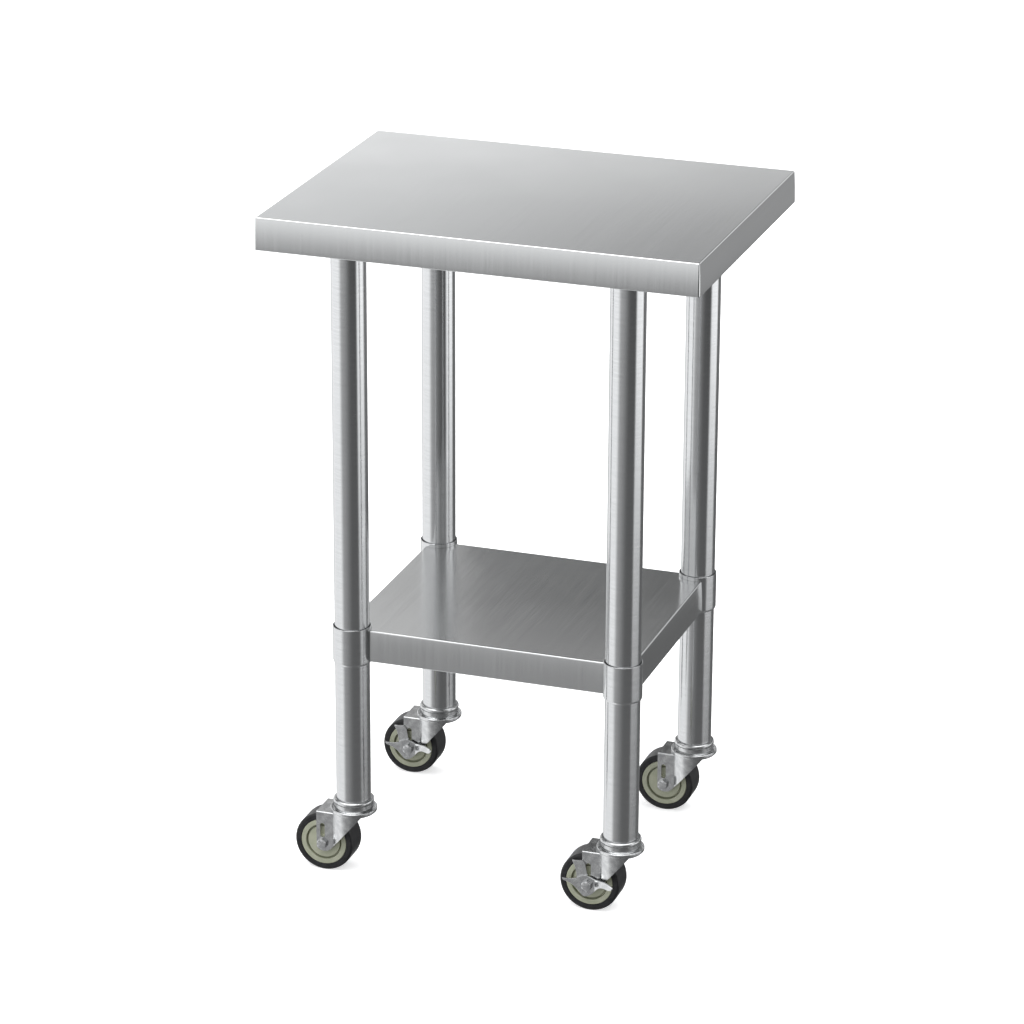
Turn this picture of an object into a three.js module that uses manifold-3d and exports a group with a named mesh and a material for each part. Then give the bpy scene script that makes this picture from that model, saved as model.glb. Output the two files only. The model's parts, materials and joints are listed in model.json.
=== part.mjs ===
// A stainless work table: folded top, four round legs, an undershelf on sliding collars,
// and four swivel casters, two of them with a side brake.
// Millimetres, +Z up. The origin is on the floor, under the middle of the table.
// X runs along the long side, -Y is the front.

import * as THREE from 'three';
import { mergeVertices } from 'three/addons/utils/BufferGeometryUtils.js';
import Module from 'manifold-3d';

const wasm = await Module();
wasm.setup();

// ---------------------------------------------------------------- driving dimensions

const TABLE_LENGTH = 610;
const TABLE_DEPTH = 457;
const TABLE_HEIGHT = 946;
const EDGE_HEIGHT = 45;
const SHEET = 1.5;
const HEM = 12;
const CORNER_RADIUS = 2;

const LEG_X = 193.5;
const LEG_Y = 173.5;
const LEG_RADIUS = 24;
const LEG_WALL = 1.5;
const LEG_BOTTOM = 108;

const SHELF_HEIGHT = 360;
const SHELF_LENGTH = 415;
const SHELF_DEPTH = 353;

const WHEEL_RADIUS = 42.5;
const WHEEL_HALF_WIDTH = 19;
const WHEEL_SIDES = 32;
const TRAIL = 38;

const GAP = 0.3;
const ROUND = 24;

// ---------------------------------------------------------------- worked out from them

const TOP_UNDERSIDE = TABLE_HEIGHT - SHEET;
const CHANNEL_HEIGHT = 14;
const CHANNEL_BOTTOM = TOP_UNDERSIDE - GAP - CHANNEL_HEIGHT;
const SOCKET_TOP = CHANNEL_BOTTOM - GAP;
const SOCKET_PLATE = 3;
const SOCKET_LENGTH = 37;
const LEG_TOP = SOCKET_TOP - SOCKET_PLATE - 2 * GAP;
const SLEEVE_BORE = LEG_RADIUS + GAP + 0.1;

const COLLAR_RADIUS = 26.4;
const COLLAR_BOTTOM = SHELF_HEIGHT - 48;
const COLLAR_TOP = SHELF_HEIGHT + 5.5;

// The tyre stands on one of its flats, so its axle is a little lower than its radius.
const AXLE_HEIGHT = WHEEL_RADIUS * Math.cos(Math.PI / WHEEL_SIDES);
const BOLT_RADIUS = 3.9;
const BOLT_HOLE = BOLT_RADIUS + 0.4;
const HEX_RADIUS = 7.5;

const FORK_INNER = 20.8;
const FORK_SHEET = 2.4;
const FORK_OUTER = FORK_INNER + FORK_SHEET;
const FORK_BACK = -TRAIL - 9;
const CROWN_TOP = AXLE_HEIGHT + 47.1;
const CROWN_BOTTOM = CROWN_TOP - FORK_SHEET;
const RACE_TOP = LEG_BOTTOM - 12.8;
const RACE_RADIUS = 32.6;
const SKIRT_RADIUS = 31.8;

const CORNERS = [
  { code: 'fl', x: -LEG_X, y: -LEG_Y, braked: false },
  { code: 'fr', x: LEG_X, y: -LEG_Y, braked: true },
  { code: 'bl', x: -LEG_X, y: LEG_Y, braked: true },
  { code: 'br', x: LEG_X, y: LEG_Y, braked: false },
];

// ---------------------------------------------------------------- materials

const stainless = new THREE.MeshStandardMaterial({ color: 0xb9bbbd, roughness: 0.35, metalness: 1 });
const tubeSteel = new THREE.MeshStandardMaterial({ color: 0xa8aaac, roughness: 0.22, metalness: 1 });
const galvanized = new THREE.MeshStandardMaterial({ color: 0x9a9d9f, roughness: 0.5, metalness: 1 });
const zincPlate = new THREE.MeshStandardMaterial({ color: 0xc4c6c8, roughness: 0.25, metalness: 1 });
const hubPlastic = new THREE.MeshStandardMaterial({ color: 0xa6a890, roughness: 0.55, metalness: 0 });
const tyreRubber = new THREE.MeshStandardMaterial({ color: 0x2e2f31, roughness: 0.8, metalness: 0 });

// ---------------------------------------------------------------- solids and cuts

// A closed geometry with its shared vertices merged and its flat triangles dropped.
function weld(geometry) {
  const bare = geometry.clone();
  bare.deleteAttribute('normal');
  bare.deleteAttribute('uv');
  const merged = mergeVertices(bare, 1e-4);
  const corners = merged.index.array;
  const kept = [];
  for (let i = 0; i < corners.length; i += 3) {
    const [a, b, c] = [corners[i], corners[i + 1], corners[i + 2]];
    if (a !== b && b !== c && c !== a) kept.push(a, b, c);
  }
  merged.setIndex(kept);
  return merged;
}

function toSolid(geometry) {
  const welded = weld(geometry);
  return new wasm.Manifold(new wasm.Mesh({
    numProp: 3,
    vertProperties: Float32Array.from(welded.attributes.position.array),
    triVerts: Uint32Array.from(welded.index.array),
  }));
}

function toGeometry(solid) {
  const mesh = solid.getMesh();
  const geometry = new THREE.BufferGeometry();
  geometry.setAttribute('position', new THREE.BufferAttribute(mesh.vertProperties, 3));
  geometry.setIndex(new THREE.BufferAttribute(mesh.triVerts, 1));
  geometry.computeVertexNormals();
  return geometry;
}

// Joins the first list of geometries, then cuts each of the second list out of them.
function carve(joined, removed = []) {
  let solid = toSolid(joined[0]);
  for (const geometry of joined.slice(1)) solid = solid.add(toSolid(geometry));
  for (const geometry of removed) solid = solid.subtract(toSolid(geometry));
  return toGeometry(solid);
}

function overlapOf(first, second) {
  return toGeometry(toSolid(first).intersect(toSolid(second)));
}

// A solid of revolution about Z. The profile is a list of [radius, height] points that goes
// round counter-clockwise; unless it starts and ends on the axis, it is closed here.
function turned(profile, sides = ROUND) {
  const points = profile.map(([radius, height]) => new THREE.Vector2(radius, height));
  const onAxis = profile[0][0] === 0 && profile[profile.length - 1][0] === 0;
  if (!onAxis) points.push(points[0].clone());
  return new THREE.LatheGeometry(points, sides, Math.PI / sides).rotateX(Math.PI / 2);
}

// The same, about the Y axis: the profile's points are [radius, y].
function turnedAboutY(profile, sides = ROUND) {
  return turned(profile, sides).rotateX(Math.PI / 2).rotateY(Math.PI);
}

function block(fromX, toX, fromY, toY, fromZ, toZ) {
  const box = new THREE.BoxGeometry(toX - fromX, toY - fromY, toZ - fromZ);
  return box.translate((fromX + toX) / 2, (fromY + toY) / 2, (fromZ + toZ) / 2);
}

// A straight bar of the given number of sides along Y, with one corner pointing up.
function barAlongY(radius, fromY, toY, sides, x = 0, z = 0) {
  const bar = new THREE.CylinderGeometry(radius, radius, toY - fromY, sides);
  return bar.translate(x, (fromY + toY) / 2, z);
}

// A flat plate whose outline lies in the XZ plane, from one Y to a higher one.
function plateAlongY(outline, fromY, toY, curveSegments = 6) {
  const options = { depth: toY - fromY, bevelEnabled: false, curveSegments };
  return new THREE.ExtrudeGeometry(outline, options).rotateX(Math.PI / 2).translate(0, toY, 0);
}

function roundedSlab(length, depth, fromZ, toZ, radius) {
  const [x, y] = [length / 2 - radius, depth / 2 - radius];
  const outline = new THREE.Shape();
  outline.absarc(x, y, radius, 0, Math.PI / 2, false);
  outline.absarc(-x, y, radius, Math.PI / 2, Math.PI, false);
  outline.absarc(-x, -y, radius, Math.PI, 1.5 * Math.PI, false);
  outline.absarc(x, -y, radius, 1.5 * Math.PI, 2 * Math.PI, false);
  const options = { depth: toZ - fromZ, bevelEnabled: false, curveSegments: 3 };
  return new THREE.ExtrudeGeometry(outline, options).translate(0, 0, fromZ);
}

// ---------------------------------------------------------------- top and undershelf

// A sheet folded down on all four sides and hemmed inwards, open below.
// Its face is at height z = 0.
function foldedPan(length, depth, cuts = []) {
  const shell = roundedSlab(length, depth, -EDGE_HEIGHT, 0, CORNER_RADIUS);
  const inside = block(
    -length / 2 + SHEET, length / 2 - SHEET,
    -depth / 2 + SHEET, depth / 2 - SHEET,
    -EDGE_HEIGHT + SHEET, -SHEET,
  );
  const mouth = block(
    -length / 2 + HEM, length / 2 - HEM,
    -depth / 2 + HEM, depth / 2 - HEM,
    -EDGE_HEIGHT - 1, -EDGE_HEIGHT + 2 * SHEET,
  );
  return carve([shell], [inside, mouth, ...cuts]);
}

function undershelfPan() {
  const collarHole = [[0, -EDGE_HEIGHT - 10], [COLLAR_RADIUS + GAP, -EDGE_HEIGHT - 10],
    [COLLAR_RADIUS + GAP, 10], [0, 10]];
  const holes = CORNERS.map(({ x, y }) => turned(collarHole).translate(x, y, 0));
  return foldedPan(SHELF_LENGTH, SHELF_DEPTH, holes);
}

// A hat channel along Y: flanges against the top's underside, web down.
function hatChannel() {
  const webHalf = 40;
  const flange = 18;
  const halfLength = TABLE_DEPTH / 2 - HEM - 6;
  const outer = webHalf + flange;
  const outline = new THREE.Shape();
  outline.moveTo(-outer, CHANNEL_HEIGHT);
  outline.lineTo(-outer, CHANNEL_HEIGHT - SHEET);
  outline.lineTo(-webHalf, CHANNEL_HEIGHT - SHEET);
  outline.lineTo(-webHalf, 0);
  outline.lineTo(webHalf, 0);
  outline.lineTo(webHalf, CHANNEL_HEIGHT - SHEET);
  outline.lineTo(outer, CHANNEL_HEIGHT - SHEET);
  outline.lineTo(outer, CHANNEL_HEIGHT);
  outline.lineTo(webHalf - SHEET, CHANNEL_HEIGHT);
  outline.lineTo(webHalf - SHEET, SHEET);
  outline.lineTo(-webHalf + SHEET, SHEET);
  outline.lineTo(-webHalf + SHEET, CHANNEL_HEIGHT);
  outline.closePath();
  return plateAlongY(outline, -halfLength, halfLength).translate(0, 0, CHANNEL_BOTTOM);
}

// ---------------------------------------------------------------- legs, sockets, collars

function legTube() {
  const inner = LEG_RADIUS - LEG_WALL;
  return turned([[inner, LEG_BOTTOM], [LEG_RADIUS, LEG_BOTTOM], [LEG_RADIUS, LEG_TOP], [inner, LEG_TOP]]);
}

const SCREW_RADIUS = 3;
const SCREW_HEAD_RADIUS = 5.5;
const SCREW_HEAD = 4.5;

// The tapped hole of a set screw, along +X from the middle of a sleeve.
function screwHole(height) {
  const hole = barAlongY(SCREW_RADIUS + GAP, 0, 40, 10);
  return hole.rotateZ(-Math.PI / 2).translate(0, 0, height);
}

// A hexagon set screw along +X that stops just short of the leg.
function setScrew(sleeveRadius) {
  const headFrom = sleeveRadius + GAP;
  const shank = barAlongY(SCREW_RADIUS, LEG_RADIUS + GAP, headFrom + 1, 10);
  const head = barAlongY(SCREW_HEAD_RADIUS, headFrom, headFrom + SCREW_HEAD, 6);
  return carve([shank, head]).rotateZ(-Math.PI / 2);
}

const SOCKET_RADIUS = 27;
const SOCKET_SCREW_Z = SOCKET_TOP - SOCKET_LENGTH + 9;

// A welded plate with a flared sleeve below it that takes the leg's upper end.
function legSocket() {
  const plateRadius = 36;
  const below = SOCKET_TOP - SOCKET_PLATE;
  const end = SOCKET_TOP - SOCKET_LENGTH;
  const body = turned([
    [0, below],
    [SLEEVE_BORE, below],
    [SLEEVE_BORE, end],
    [SOCKET_RADIUS, end],
    [SOCKET_RADIUS, below - 9],
    [plateRadius, below],
    [plateRadius, SOCKET_TOP],
    [0, SOCKET_TOP],
  ]);
  return carve([body], [screwHole(SOCKET_SCREW_Z)]);
}

const COLLAR_SCREW_Z = SHELF_HEIGHT - 24;

// The sleeve at each corner of the undershelf, rounded at its lower end.
function shelfCollar() {
  const body = turned([
    [SLEEVE_BORE, COLLAR_BOTTOM],
    [COLLAR_RADIUS - 1.2, COLLAR_BOTTOM],
    [COLLAR_RADIUS, COLLAR_BOTTOM + 3],
    [COLLAR_RADIUS, COLLAR_TOP - 0.8],
    [COLLAR_RADIUS - 0.8, COLLAR_TOP],
    [SLEEVE_BORE, COLLAR_TOP],
  ]);
  return carve([body], [screwHole(COLLAR_SCREW_Z)]);
}

// ---------------------------------------------------------------- casters
// Each caster piece is drawn about its swivel axis, at its real height, trailing to -X.

const KINGPIN_RADIUS = 6.1;
const KINGPIN_HOLE = KINGPIN_RADIUS + GAP;

// Kingpin, with its riveted head below the fork, and the plug that fills the leg's end.
function casterStem() {
  const rivetTop = CROWN_BOTTOM - GAP;
  const plugRadius = LEG_RADIUS - LEG_WALL - 0.5;
  const plugTop = LEG_BOTTOM + 44;
  return turned([
    [0, rivetTop - 3],
    [9, rivetTop - 3],
    [9, rivetTop],
    [KINGPIN_RADIUS, rivetTop],
    [KINGPIN_RADIUS, LEG_BOTTOM],
    [plugRadius, LEG_BOTTOM],
    [plugRadius, plugTop - 4],
    [plugRadius - 3, plugTop],
    [0, plugTop],
  ], 20);
}

// Upper race and the rolled lip that stands round the end of the leg.
function casterHead() {
  const seat = LEG_BOTTOM - GAP;
  return turned([
    [KINGPIN_HOLE, RACE_TOP - 3],
    [25.5, RACE_TOP - 3],
    [27.2, RACE_TOP + 0.6],
    [27.4, LEG_BOTTOM - 5.5],
    [28.4, LEG_BOTTOM - 4],
    [28.4, LEG_BOTTOM - 1],
    [27.2, LEG_BOTTOM + 1],
    [SLEEVE_BORE, LEG_BOTTOM + 1],
    [SLEEVE_BORE, seat],
    [KINGPIN_HOLE, seat],
  ]);
}

// The fork's sloping front edge starts as a tangent to the pad round the axle.
const PAD_X = -TRAIL + 2;
const PAD_Z = AXLE_HEIGHT + 2.2;
const PAD_RADIUS = 14;
const EDGE_SLOPE = THREE.MathUtils.degToRad(50);

const EDGE_START_X = PAD_X + PAD_RADIUS * Math.sin(EDGE_SLOPE);
const EDGE_START_Z = PAD_Z - PAD_RADIUS * Math.cos(EDGE_SLOPE);

function edgeHeightAt(x) {
  return EDGE_START_Z + (x - EDGE_START_X) * Math.tan(EDGE_SLOPE);
}

function edgePlaceAt(z) {
  return EDGE_START_X + (z - EDGE_START_Z) / Math.tan(EDGE_SLOPE);
}

const SKIRT_FROM = -Math.sqrt(SKIRT_RADIUS ** 2 - FORK_OUTER ** 2);

function forkSideOutline() {
  const backAngle = Math.PI + Math.acos((PAD_X - FORK_BACK) / PAD_RADIUS);
  const frontAngle = 1.5 * Math.PI + EDGE_SLOPE;
  const joint = SKIRT_FROM + 2.5;
  const outline = new THREE.Shape();
  outline.moveTo(FORK_BACK, CROWN_TOP);
  outline.absarc(PAD_X, PAD_Z, PAD_RADIUS, backAngle, frontAngle, false);
  outline.lineTo(joint, edgeHeightAt(joint));
  outline.lineTo(joint, CROWN_TOP);
  outline.closePath();
  return outline;
}

// A round-ended slot in each side plate, above the axle hole.
function forkSlot(fromY, toY) {
  const radius = 3.4;
  const low = AXLE_HEIGHT + 12;
  const high = AXLE_HEIGHT + 27;
  const outline = new THREE.Shape();
  outline.absarc(-TRAIL, high, radius, 0, Math.PI, false);
  outline.absarc(-TRAIL, low, radius, Math.PI, 2 * Math.PI, false);
  return plateAlongY(outline, fromY, toY, 4);
}

// Pressed fork: lower race ring, a round skirt cut on the slope, a flat crown over the wheel
// and two side plates down to the axle.
function casterFork() {
  const outline = forkSideOutline();
  const sides = [
    plateAlongY(outline, -FORK_OUTER, -FORK_INNER),
    plateAlongY(outline, FORK_INNER, FORK_OUTER),
  ];
  const crown = block(FORK_BACK, 0, -FORK_OUTER, FORK_OUTER, CROWN_BOTTOM, CROWN_TOP);
  const dish = turned([
    [KINGPIN_HOLE, CROWN_TOP - 0.8],
    [RACE_RADIUS - 2, CROWN_TOP - 0.8],
    [RACE_RADIUS, CROWN_TOP + 1],
    [RACE_RADIUS, RACE_TOP - 1],
    [RACE_RADIUS - 1, RACE_TOP],
    [RACE_RADIUS - 2.6, RACE_TOP],
    [RACE_RADIUS - 2.6, CROWN_TOP + FORK_SHEET],
    [KINGPIN_HOLE, CROWN_TOP + FORK_SHEET],
  ]);
  const skirtInner = SKIRT_RADIUS - FORK_SHEET;
  const skirtTop = CROWN_TOP + 1;
  const tube = turned([
    [skirtInner, PAD_Z - PAD_RADIUS],
    [SKIRT_RADIUS, PAD_Z - PAD_RADIUS],
    [SKIRT_RADIUS, skirtTop],
    [skirtInner, skirtTop],
  ]);
  const aboveEdge = new THREE.Shape();
  aboveEdge.moveTo(SKIRT_FROM, edgeHeightAt(SKIRT_FROM));
  aboveEdge.lineTo(edgePlaceAt(skirtTop + 1), skirtTop + 1);
  aboveEdge.lineTo(SKIRT_FROM, skirtTop + 1);
  aboveEdge.closePath();
  const skirt = overlapOf(tube, plateAlongY(aboveEdge, -SKIRT_RADIUS - 1, SKIRT_RADIUS + 1));
  const wheelRoom = block(FORK_BACK - 1, 6, -FORK_INNER, FORK_INNER, 0, CROWN_BOTTOM);
  const axleHole = barAlongY(BOLT_HOLE, -FORK_OUTER - 1, FORK_OUTER + 1, 12, -TRAIL, AXLE_HEIGHT);
  const pinHole = turned([[0, 0], [KINGPIN_HOLE, 0], [KINGPIN_HOLE, TABLE_HEIGHT], [0, TABLE_HEIGHT]]);
  const slot = forkSlot(-FORK_OUTER - 1, FORK_OUTER + 1);
  return carve([crown, ...sides, dish, skirt], [wheelRoom, axleHole, pinHole, slot]);
}

const PLATE = 2;
const LEVER = 2.4;

// How far out the bolt's head starts: on the fork, or on the brake's two plates.
function boltSeat(braked) {
  const plates = braked ? PLATE + LEVER + 2 * GAP : 0;
  return FORK_OUTER + GAP + plates;
}

const NUT_HEIGHT = 6.5;
const BOLT_END = FORK_OUTER + GAP + NUT_HEIGHT + 2;

function axleBolt(braked) {
  const seat = boltSeat(braked);
  const head = barAlongY(HEX_RADIUS, -seat - 5.3, -seat, 6, -TRAIL, AXLE_HEIGHT);
  const shank = barAlongY(BOLT_RADIUS, -seat - 1, BOLT_END, 12, -TRAIL, AXLE_HEIGHT);
  return carve([head, shank]);
}

function axleNut() {
  const from = FORK_OUTER + GAP;
  const body = barAlongY(HEX_RADIUS, from, from + NUT_HEIGHT, 6, -TRAIL, AXLE_HEIGHT);
  const bore = barAlongY(BOLT_HOLE, from - 1, from + NUT_HEIGHT + 1, 12, -TRAIL, AXLE_HEIGHT);
  return carve([body], [bore]);
}

// The plain bearing: it is clamped between the fork's sides and the hub turns on it.
const SLEEVE_RADIUS = 6.2;

function axleSleeve() {
  const half = FORK_INNER - GAP;
  const profile = [[BOLT_HOLE, -half], [SLEEVE_RADIUS, -half], [SLEEVE_RADIUS, half], [BOLT_HOLE, half]];
  return turnedAboutY(profile, 16).translate(-TRAIL, 0, AXLE_HEIGHT);
}

const HUB_RADIUS = 33;

function wheelHub() {
  const bore = SLEEVE_RADIUS + 0.4;
  const boss = FORK_INNER - 2 * GAP;
  const half = WHEEL_HALF_WIDTH;
  const profile = [
    [bore, -boss], [11, -boss], [11, -half], [HUB_RADIUS, -half],
    [HUB_RADIUS, half], [11, half], [11, boss], [bore, boss],
  ];
  return turnedAboutY(profile).translate(-TRAIL, 0, AXLE_HEIGHT);
}

function tyre() {
  const half = WHEEL_HALF_WIDTH;
  const shoulder = 2.5;
  const inner = HUB_RADIUS + GAP + 0.2;
  const profile = [
    [inner, -half],
    [WHEEL_RADIUS - shoulder, -half],
    [WHEEL_RADIUS, -half + shoulder],
    [WHEEL_RADIUS, half - shoulder],
    [WHEEL_RADIUS - shoulder, half],
    [inner, half],
  ];
  return turnedAboutY(profile, WHEEL_SIDES).translate(-TRAIL, 0, AXLE_HEIGHT);
}

// ---------------------------------------------------------------- side brake
// The brake's outlines are drawn from the axle: right is +X, up is +Z.

// Fixed plate between fork and lever; the tab at its upper left is turned in towards the tyre.
function brakePlate() {
  const back = FORK_OUTER + GAP;
  const outline = new THREE.Shape();
  outline.moveTo(-23, 32);
  outline.quadraticCurveTo(-17, 24, -16, 8);
  outline.quadraticCurveTo(-14, -7, 0, -8);
  outline.quadraticCurveTo(9, -6, 7, 5);
  outline.lineTo(-1, 15);
  outline.lineTo(-4, 29);
  outline.lineTo(-8, 34);
  outline.closePath();
  const plate = plateAlongY(outline, -back - PLATE, -back, 4);
  const tab = new THREE.Shape();
  tab.moveTo(-22.8, 32);
  tab.lineTo(-22, 30);
  tab.lineTo(-9.6, 31.8);
  tab.lineTo(-9.6, 33.8);
  tab.closePath();
  const flange = plateAlongY(tab, -back - 0.5, -FORK_INNER);
  const hole = barAlongY(BOLT_HOLE, -back - PLATE - 1, -back + 1, 12);
  return carve([plate, flange], [hole]).translate(-TRAIL, 0, AXLE_HEIGHT);
}

// Lever: a long arm to the left, a rounded point below and a pedal at the right, bent outwards.
function brakeLever() {
  const back = FORK_OUTER + PLATE + 2 * GAP;
  const bendX = 12;
  const outline = new THREE.Shape();
  outline.moveTo(-36, 5.5);
  outline.quadraticCurveTo(-22, 5, -14, 9);
  outline.quadraticCurveTo(-8, 14, 0, 13.5);
  outline.lineTo(bendX, 8.5);
  outline.lineTo(bendX, -7);
  outline.lineTo(4, -15);
  outline.quadraticCurveTo(-3, -20, -8, -15.5);
  outline.quadraticCurveTo(-15, -6, -24, -1);
  outline.lineTo(-35, 2.5);
  outline.closePath();
  const arm = plateAlongY(outline, -back - LEVER, -back, 4);
  const pedalOutline = new THREE.Shape();
  pedalOutline.moveTo(-1, 8.5);
  pedalOutline.lineTo(18, 11.5);
  pedalOutline.quadraticCurveTo(34, 11.5, 35, 8);
  pedalOutline.quadraticCurveTo(33, 3, 24, 2.5);
  pedalOutline.quadraticCurveTo(10, 3, 2, -6);
  pedalOutline.lineTo(-1, -7);
  pedalOutline.closePath();
  const bend = THREE.MathUtils.degToRad(-32);
  const pedal = plateAlongY(pedalOutline, -LEVER, 0, 4).rotateZ(bend).translate(bendX, -back, 0);
  const hole = barAlongY(BOLT_HOLE, -back - LEVER - 1, -back + 1, 12);
  return carve([arm, pedal], [hole]).translate(-TRAIL, 0, AXLE_HEIGHT);
}

// ---------------------------------------------------------------- assembly

const group = new THREE.Group();

function place(name, geometry, material, x = 0, y = 0, z = 0, turn = 0) {
  const mesh = new THREE.Mesh(geometry, material);
  mesh.name = name;
  mesh.position.set(x, y, z);
  mesh.rotation.z = turn;
  group.add(mesh);
}

// The set screws point diagonally in from the legs, clear of the shelf's folded edges.
function diagonalInwards(x, y) {
  return Math.atan2(-Math.sign(y), -Math.sign(x));
}

function addFrame() {
  place('top_pan', foldedPan(TABLE_LENGTH, TABLE_DEPTH), stainless, 0, 0, TABLE_HEIGHT);
  place('channel_left', hatChannel(), galvanized, -LEG_X);
  place('channel_right', hatChannel(), galvanized, LEG_X);
  for (const { code, x, y } of CORNERS) {
    const inwards = diagonalInwards(x, y);
    place(`leg_socket_${code}`, legSocket(), galvanized, x, y, 0, inwards);
    place(`socket_screw_${code}`, setScrew(SOCKET_RADIUS), zincPlate, x, y, SOCKET_SCREW_Z, inwards);
    place(`leg_${code}`, legTube(), tubeSteel, x, y);
  }
}

function addUndershelf() {
  place('undershelf', undershelfPan(), stainless, 0, 0, SHELF_HEIGHT);
  for (const { code, x, y } of CORNERS) {
    const inwards = diagonalInwards(x, y);
    place(`shelf_collar_${code}`, shelfCollar(), tubeSteel, x, y, 0, inwards);
    place(`collar_screw_${code}`, setScrew(COLLAR_RADIUS), zincPlate, x, y, COLLAR_SCREW_Z, inwards);
  }
}

function addCaster({ code, x, y, braked }) {
  place(`caster_stem_${code}`, casterStem(), zincPlate, x, y);
  place(`caster_head_${code}`, casterHead(), zincPlate, x, y);
  place(`caster_fork_${code}`, casterFork(), zincPlate, x, y);
  place(`axle_bolt_${code}`, axleBolt(braked), zincPlate, x, y);
  place(`axle_nut_${code}`, axleNut(), zincPlate, x, y);
  place(`axle_sleeve_${code}`, axleSleeve(), zincPlate, x, y);
  place(`wheel_hub_${code}`, wheelHub(), hubPlastic, x, y);
  place(`tyre_${code}`, tyre(), tyreRubber, x, y);
  if (braked) {
    place(`brake_plate_${code}`, brakePlate(), zincPlate, x, y);
    place(`brake_lever_${code}`, brakeLever(), zincPlate, x, y);
  }
}

addFrame();
addUndershelf();
CORNERS.forEach(addCaster);

export default group;
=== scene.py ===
"""Looks of the stainless work table: fine meshes, materials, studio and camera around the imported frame.

Shapes are drawn in millimetres and scaled to metres when they become objects.
X runs along the long side, -Y is the front, +Z is up.
"""

import json
from math import acos, ceil, cos, degrees, pi, radians, sin, sqrt, tan

import bmesh
import bpy
from mathutils import Matrix, Vector


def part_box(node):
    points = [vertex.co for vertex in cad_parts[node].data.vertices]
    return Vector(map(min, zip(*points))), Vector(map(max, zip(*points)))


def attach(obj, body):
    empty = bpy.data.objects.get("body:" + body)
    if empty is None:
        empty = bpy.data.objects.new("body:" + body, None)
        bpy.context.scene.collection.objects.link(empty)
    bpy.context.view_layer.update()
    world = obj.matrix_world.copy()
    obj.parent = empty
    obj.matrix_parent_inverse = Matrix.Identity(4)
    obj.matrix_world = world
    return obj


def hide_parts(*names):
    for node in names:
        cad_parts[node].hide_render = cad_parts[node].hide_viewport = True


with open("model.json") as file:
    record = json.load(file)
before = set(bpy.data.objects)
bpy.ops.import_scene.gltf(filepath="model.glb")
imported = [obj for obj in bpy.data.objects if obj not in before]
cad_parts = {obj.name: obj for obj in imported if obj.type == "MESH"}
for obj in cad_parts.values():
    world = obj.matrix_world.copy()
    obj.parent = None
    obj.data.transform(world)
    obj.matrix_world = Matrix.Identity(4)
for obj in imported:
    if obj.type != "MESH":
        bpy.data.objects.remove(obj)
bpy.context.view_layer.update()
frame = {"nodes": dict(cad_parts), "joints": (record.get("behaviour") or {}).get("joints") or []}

MM = 0.001

# ------------------------------------------------------------------ sizes read from the frame


def box_mm(node):
    """The lowest and the highest corner of a CAD node, in millimetres."""
    low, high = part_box(node)
    return low / MM, high / MM


def joint_place(name):
    """Where a joint stands, in millimetres."""
    joint = next(j for j in frame["joints"] if j["name"] == name)
    return Vector(joint["pos_m"]) / MM


CODES = ("fl", "fr", "bl", "br")
BRAKED = ("fr", "bl")

top_low, top_high = box_mm("top_pan")
shelf_low, shelf_high = box_mm("undershelf")
leg_low, leg_high = box_mm("leg_fl")
collar_low, collar_high = box_mm("shelf_collar_fl")
socket_low, socket_high = box_mm("leg_socket_fl")
_, fork_high = box_mm("caster_fork_fl")

TABLE_LENGTH = top_high.x - top_low.x
TABLE_DEPTH = top_high.y - top_low.y
TABLE_HEIGHT = top_high.z
EDGE_HEIGHT = top_high.z - top_low.z
SHELF_LENGTH = shelf_high.x - shelf_low.x
SHELF_DEPTH = shelf_high.y - shelf_low.y
SHELF_HEIGHT = shelf_high.z

SWIVEL = {code: joint_place(f"caster_swivel_{code}") for code in CODES}
AXLE = joint_place("wheel_spin_fl")
AXLE_HEIGHT = AXLE.z
TRAIL = SWIVEL["fl"].x - AXLE.x

# ------------------------------------------------------------------ sizes of the fine meshes

GAP = 0.3
SMOOTH_ANGLE = radians(32)

# How many sides stand for a circle, by the size of the piece.
TYRE_SIDES = 128
SIDES = 96
SLEEVE_SIDES = 48
SMALL_SIDES = 32

SHEET = 1.5
HEM = 12
FOLD_RADIUS = 2.0
CORNER_RADIUS = 3.2
APRON_CROWN = 1.4

LEG_RADIUS = 24
LEG_WALL = 1.5
SLEEVE_BORE = 24.4
COLLAR_RADIUS = 26.4
SOCKET_RADIUS = 27
SOCKET_PLATE_RADIUS = 36
SOCKET_PLATE = 3

FORK_SHEET = 2.4
FORK_OUTER = 23.2
FORK_INNER = FORK_OUTER - FORK_SHEET
FORK_BACK = -TRAIL - 9
CROWN_TOP = AXLE_HEIGHT + 47.1
CROWN_BOTTOM = CROWN_TOP - FORK_SHEET
RACE_TOP = fork_high.z
RACE_RADIUS = 32.6
RACE_SHEET = 2.8
KINGPIN_RADIUS = 6.1
KINGPIN_HOLE = 6.4

# The fork's side plates end in a round pad about the axle, and a sloping edge climbs from it to the skirt.
PAD_X = -TRAIL + 2
PAD_Z = AXLE_HEIGHT + 2.2
PAD_RADIUS = 14
EDGE_SLOPE = radians(50)
PLATE_LOW = PAD_Z - PAD_RADIUS - 6

# The round skirt under the lower race meets the plates at the crease, and they overlap a little there.
SKIRT_RADIUS = 31.8
CREASE = -sqrt(SKIRT_RADIUS ** 2 - FORK_OUTER ** 2)
SEAM = CREASE + 2.5

# The visual tyre touches the floor.
WHEEL_RADIUS = AXLE_HEIGHT
WHEEL_HALF_WIDTH = 19
HUB_RADIUS = 33
BOSS_RADIUS = 11
GROOVE_OUTER = HUB_RADIUS - 6.9
GROOVE_INNER = HUB_RADIUS - 9.6
GROOVE_DEPTH = 7

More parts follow.
